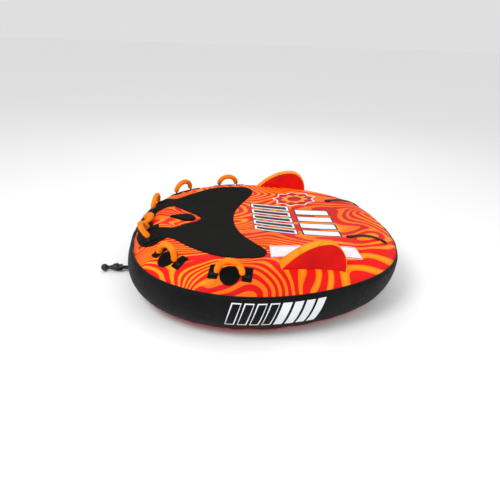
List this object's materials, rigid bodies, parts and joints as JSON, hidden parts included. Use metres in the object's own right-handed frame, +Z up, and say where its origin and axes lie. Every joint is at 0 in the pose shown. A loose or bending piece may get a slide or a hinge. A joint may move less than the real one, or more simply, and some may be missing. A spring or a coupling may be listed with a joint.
{
  "type": "towable tube",
  "caption": "Round inflatable deck tube for towing behind a boat: foam-padded deck, sleeved grab handles, two padded fins, a covered valve and a nose harness with a quick connector.",
  "frame": {"origin": "centre of the flat base the tube rests on", "axes": "+Z up, +X from the towing nose towards the rear, +Y towards the far side"},
  "size_m": [2.034, 1.8144, 0.5283],
  "materials": {
    "cover_print": "dye-printed coated nylon, red and orange swirls",
    "cover_black": "black coated nylon",
    "cover_red": "dark red coated nylon",
    "bladder_vinyl": "heavy vinyl",
    "deck_foam": "black foam sheet with a fine fabric face",
    "neoprene": "black neoprene",
    "handle_foam": "orange closed-cell foam",
    "fin_fabric": "red coated nylon",
    "fin_foam": "pale closed-cell foam",
    "webbing": "black woven webbing",
    "moulded_plastic": "black moulded nylon",
    "label": "blank white woven label",
    "zip_metal": "dark zinc"
  },
  "bodies": {
    "tube": {"bladder": "bladder_vinyl", "cover_top_panel": "cover_print", "cover_side_band": "cover_black", "cover_bottom_panel": "cover_red", "piping_top": "cover_black", "piping_bottom": "cover_red", "valve_base": "moulded_plastic", "deck_pad": "deck_foam", "care_label_front": "label", "care_label_rear": "label", "tow_harness": "webbing", "zip_tape": "webbing", "fin_near_cover": "fin_fabric", "fin_near_core": "fin_foam", "fin_far_cover": "fin_fabric", "fin_far_core": "fin_foam", "handle_near_front_patch_a": "neoprene", "handle_near_front_patch_b": "neoprene", "handle_near_middle_patch_a": "neoprene", "handle_near_middle_patch_b": "neoprene", "knuckle_pad_near_middle": "neoprene", "handle_near_rear_patch_a": "neoprene", "handle_near_rear_patch_b": "neoprene", "knuckle_pad_near_rear": "neoprene", "handle_far_front_patch_a": "neoprene", "handle_far_front_patch_b": "neoprene", "handle_far_middle_patch_a": "neoprene", "handle_far_middle_patch_b": "neoprene", "knuckle_pad_far_middle": "neoprene", "handle_far_rear_patch_a": "neoprene", "handle_far_rear_patch_b": "neoprene", "knuckle_pad_far_rear": "neoprene", "handle_bow_patch_a": "neoprene", "handle_bow_patch_b": "neoprene", "rear_strap_near_tab_front": "neoprene", "rear_strap_near_tab_rear": "neoprene", "rear_strap_near": "webbing", "rear_strap_far_tab_front": "neoprene", "rear_strap_far_tab_rear": "neoprene", "rear_strap_far": "webbing"},
    "handle_near_front": {"handle_near_front_sleeve": "handle_foam", "handle_near_front_webbing": "webbing"},
    "handle_near_middle": {"handle_near_middle_sleeve": "handle_foam", "handle_near_middle_webbing": "webbing"},
    "handle_near_rear": {"handle_near_rear_sleeve": "handle_foam", "handle_near_rear_webbing": "webbing"},
    "handle_far_front": {"handle_far_front_sleeve": "handle_foam", "handle_far_front_webbing": "webbing"},
    "handle_far_middle": {"handle_far_middle_sleeve": "handle_foam", "handle_far_middle_webbing": "webbing"},
    "handle_far_rear": {"handle_far_rear_sleeve": "handle_foam", "handle_far_rear_webbing": "webbing"},
    "handle_bow": {"handle_bow_sleeve": "handle_foam", "handle_bow_webbing": "webbing"},
    "valve_cap": {"valve_cap": "moulded_plastic"},
    "valve_flap": {"valve_flap": "neoprene"},
    "tow_tail": {"tow_tail": "webbing"},
    "tow_connector": {"tow_connector": "moulded_plastic"},
    "zip_slider": {"zip_slider": "zip_metal"},
    "zip_pull": {"zip_pull": "zip_metal"}
  },
  "joints": [
    {"name": "handle_near_front_fold", "type": "hinge", "parent": "tube", "child": "handle_near_front", "pos_m": [-0.77158, -0.24234, 0.4041], "axis": [0.118, -0.993, 0], "range_deg": [-91.9, 58.1]},
    {"name": "handle_near_middle_fold", "type": "hinge", "parent": "tube", "child": "handle_near_middle", "pos_m": [-0.62971, -0.58102, 0.39708], "axis": [0.6667, -0.7453, 0], "range_deg": [-37, 113]},
    {"name": "handle_near_rear_fold", "type": "hinge", "parent": "tube", "child": "handle_near_rear", "pos_m": [-0.27481, -0.78593, 0.39388], "axis": [0.9762, -0.2171, 0], "range_deg": [-33.8, 116.2]},
    {"name": "handle_far_front_fold", "type": "hinge", "parent": "tube", "child": "handle_far_front", "pos_m": [-0.77367, 0.2729, 0.40096], "axis": [-0.151, -0.9885, 0], "range_deg": [-38.6, 111.4]},
    {"name": "handle_far_middle_fold", "type": "hinge", "parent": "tube", "child": "handle_far_middle", "pos_m": [-0.58924, 0.61024, 0.40109], "axis": [-0.7308, -0.6826, 0], "range_deg": [-38.7, 111.3]},
    {"name": "handle_far_rear_fold", "type": "hinge", "parent": "tube", "child": "handle_far_rear", "pos_m": [-0.23355, 0.78972, 0.39604], "axis": [-0.9858, -0.1681, 0], "range_deg": [-30.6, 119.4]},
    {"name": "handle_bow_fold", "type": "hinge", "parent": "tube", "child": "handle_bow", "pos_m": [-0.82924, 0, 0.37751], "axis": [0, -1, 0], "range_deg": [-2, 165.3]},
    {"name": "valve_cap_turn", "type": "hinge", "parent": "tube", "child": "valve_cap", "pos_m": [-0.537, 0, 0.39964], "axis": [0.0914, 0, 0.9958], "range_deg": [0, 270]},
    {"name": "valve_flap_lift", "type": "hinge", "parent": "tube", "child": "valve_flap", "pos_m": [-0.645, 0, 0.41056], "axis": [0, -1, 0], "range_deg": [0, 92]},
    {"name": "tow_tail_swing", "type": "hinge", "parent": "tube", "child": "tow_tail", "pos_m": [-0.953, 0, 0.0275], "axis": [0, 1, 0], "range_deg": [-20, 60]},
    {"name": "tow_connector_swing", "type": "hinge", "parent": "tow_tail", "child": "tow_connector", "pos_m": [-1.012, 0, 0.0275], "axis": [0, 1, 0], "range_deg": [-20, 20]},
    {"name": "zip_slide", "type": "hinge", "parent": "tube", "child": "zip_slider", "pos_m": [-0.47197, 0, 0], "axis": [0, 0, 1], "range_deg": [-18.1, 0]},
    {"name": "zip_pull_swing", "type": "hinge", "parent": "zip_slider", "child": "zip_pull", "pos_m": [0.85108, 0.21112, 0.11283], "axis": [-0.1576, 0.9875, 0], "range_deg": [-100, 5]}
  ]
}
